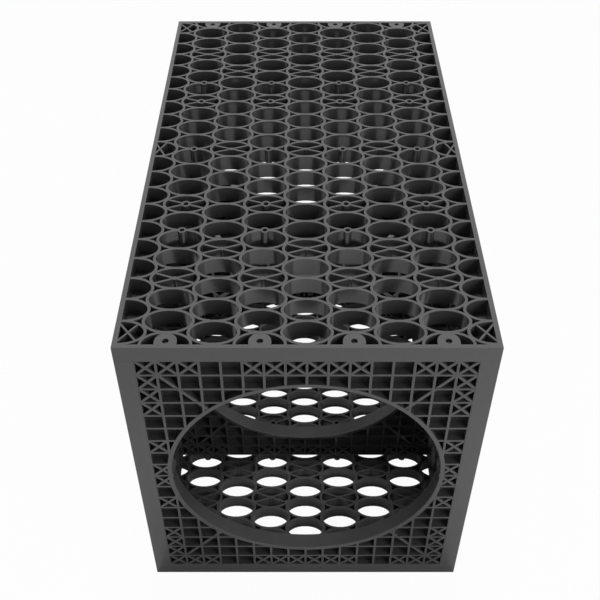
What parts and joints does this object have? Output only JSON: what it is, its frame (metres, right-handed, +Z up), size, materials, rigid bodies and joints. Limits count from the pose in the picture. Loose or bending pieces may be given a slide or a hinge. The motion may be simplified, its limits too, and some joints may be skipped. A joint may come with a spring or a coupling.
{
  "type": "soakaway crate",
  "caption": "Open box of plugged-together plates that stores rainwater underground, with cell-patterned faces and a round channel from end to end.",
  "frame": {"origin": "middle of the underside, on the surface that the crate stands on", "axes": "+Y along the crate's length, away from the end that the picture shows; +X to the right of that end; +Z up"},
  "size_m": [0.4, 0.715, 0.44],
  "materials": {
    "cell_plates": "moulded polypropylene, dark grey, matt",
    "ring_plates": "moulded polypropylene, dark grey, matt"
  },
  "bodies": {
    "root": {"top_plate": "cell_plates", "bottom_plate": "cell_plates", "left_side_plate": "cell_plates", "right_side_plate": "cell_plates", "front_end_plate": "ring_plates", "partition_plate_1": "ring_plates", "partition_plate_2": "ring_plates", "back_end_plate": "ring_plates"}
  },
  "joints": []
}
